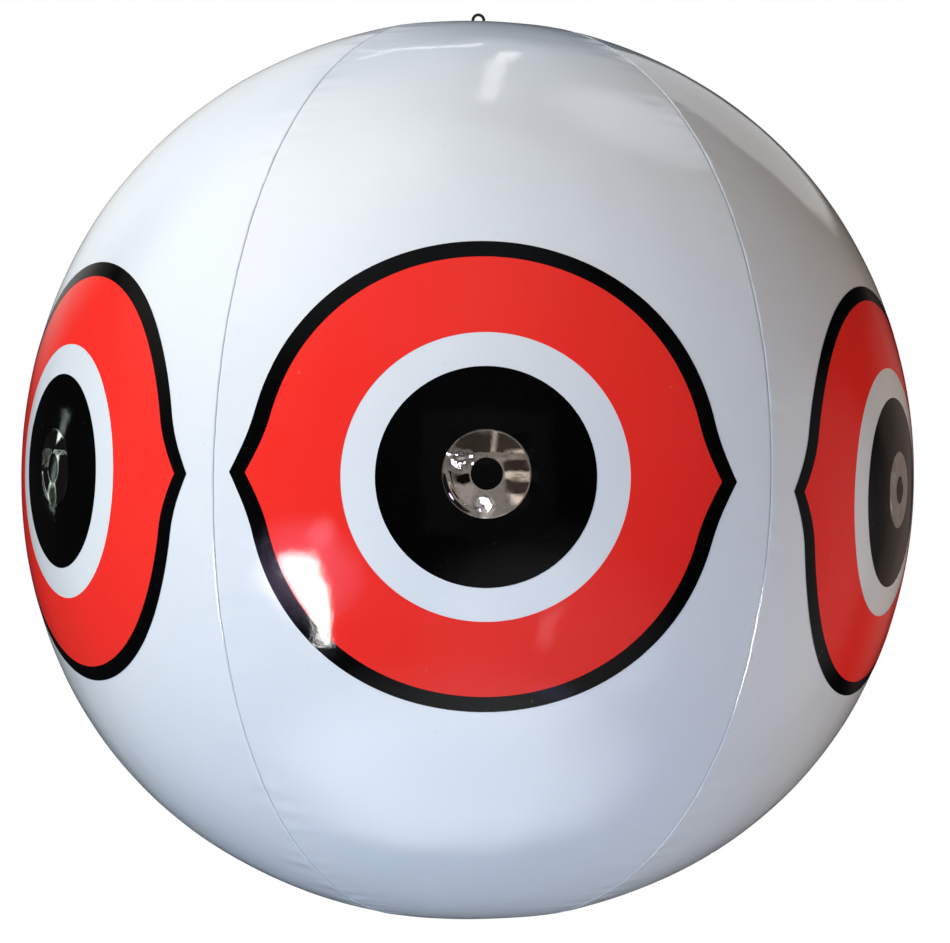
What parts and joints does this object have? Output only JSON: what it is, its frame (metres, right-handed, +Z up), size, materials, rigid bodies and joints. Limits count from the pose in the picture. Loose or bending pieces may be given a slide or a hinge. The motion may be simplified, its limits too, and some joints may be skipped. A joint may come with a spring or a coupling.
{
  "type": "bird scare balloon",
  "caption": "Round inflated vinyl balloon with predator-eye rings and mirror pupils, hung from a black link on top, with an air valve underneath.",
  "frame": {"origin": "under the crown of the hanging link, where the hook or cord bears; the balloon hangs below it", "axes": "+Z up along the balloon's axis through the hanger and the valve; -Y faces the middle of gore 1 and its eye; +X to the right of that eye"},
  "size_m": [0.615, 0.6031, 0.6287],
  "materials": {
    "white_vinyl": "glossy calendered white vinyl film, faintly blue",
    "red_print": "glossy screen-printed red ink on vinyl",
    "black_print": "glossy screen-printed black ink on vinyl",
    "mirror_film": "crinkled metallised film with a fine diffraction texture",
    "black_plastic": "moulded black plastic",
    "valve_vinyl": "soft moulded vinyl, satin"
  },
  "bodies": {
    "balloon": {"gore_panel_1": "white_vinyl", "gore_panel_2": "white_vinyl", "gore_panel_3": "white_vinyl", "gore_panel_4": "white_vinyl", "gore_panel_5": "white_vinyl", "gore_panel_6": "white_vinyl", "eye_outline_1": "black_print", "eye_outline_2": "black_print", "eye_outline_3": "black_print", "eye_outline_4": "black_print", "eye_outline_5": "black_print", "eye_outline_6": "black_print", "eye_iris_1": "red_print", "eye_iris_2": "red_print", "eye_iris_3": "red_print", "eye_iris_4": "red_print", "eye_iris_5": "red_print", "eye_iris_6": "red_print", "eye_pupil_1": "black_print", "eye_pupil_2": "black_print", "eye_pupil_3": "black_print", "eye_pupil_4": "black_print", "eye_pupil_5": "black_print", "eye_pupil_6": "black_print", "pupil_sticker_1": "mirror_film", "pupil_sticker_2": "mirror_film", "pupil_sticker_3": "mirror_film", "pupil_sticker_4": "mirror_film", "pupil_sticker_5": "mirror_film", "pupil_sticker_6": "mirror_film", "top_patch": "white_vinyl", "bottom_patch": "white_vinyl", "hanger_base": "black_plastic", "valve_flange": "valve_vinyl"},
    "link": {"hanging_link": "black_plastic"},
    "stem": {"valve_stem": "valve_vinyl"},
    "flap": {"check_flap": "valve_vinyl"},
    "stopper": {"valve_stopper": "valve_vinyl"}
  },
  "joints": [
    {"name": "link_swing", "type": "hinge", "parent": "balloon", "child": "link", "pos_m": [0, 0, -0.009], "axis": [1, 0, 0], "range_deg": [-85, 85]},
    {"name": "stem_pull", "type": "slide", "parent": "balloon", "child": "stem", "axis": [0, 0, -1], "range_m": [0, 0.012]},
    {"name": "flap_open", "type": "hinge", "parent": "stem", "child": "flap", "pos_m": [-0.0079, 0, -0.6004], "axis": [0, -1, 0], "range_deg": [0, 60], "stiffness_Nm_per_rad": 0.0005},
    {"name": "stopper_open", "type": "hinge", "parent": "stem", "child": "stopper", "pos_m": [-0.0112, 0, -0.62525], "axis": [0, 1, 0], "range_deg": [0, 150]}
  ]
}
